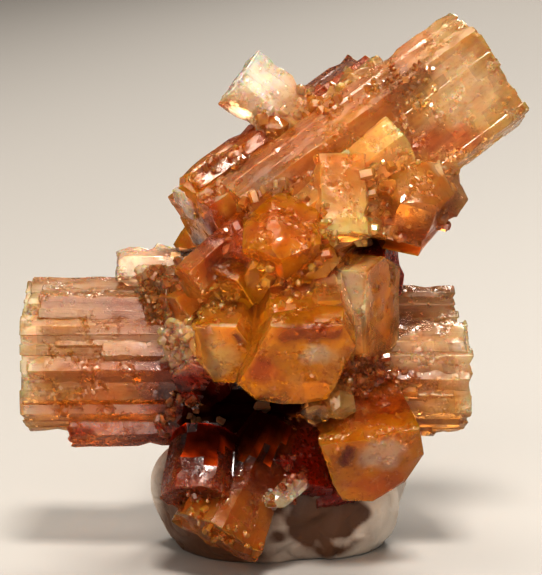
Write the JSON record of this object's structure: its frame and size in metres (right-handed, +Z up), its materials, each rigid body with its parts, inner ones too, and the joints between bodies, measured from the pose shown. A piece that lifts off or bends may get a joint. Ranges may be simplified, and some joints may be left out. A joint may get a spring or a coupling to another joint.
{
  "type": "aragonite sputnik cluster",
  "caption": "Amber aragonite prisms radiating in every direction from a shared heart, a long prism leaning up to the right, set in a flat-bottomed lump of grey putty.",
  "frame": {"origin": "on the putty's flat underside, below the middle of the cluster", "axes": "+Z up, +X along the right arm, and the show side faces -Y"},
  "size_m": [0.0505, 0.0376, 0.0544],
  "materials": {
    "aragonite": "gloss",
    "putty": "satin"
  },
  "bodies": {
    "root": {"aragonite_cluster": "aragonite", "mounting_putty": "putty"}
  },
  "joints": []
}
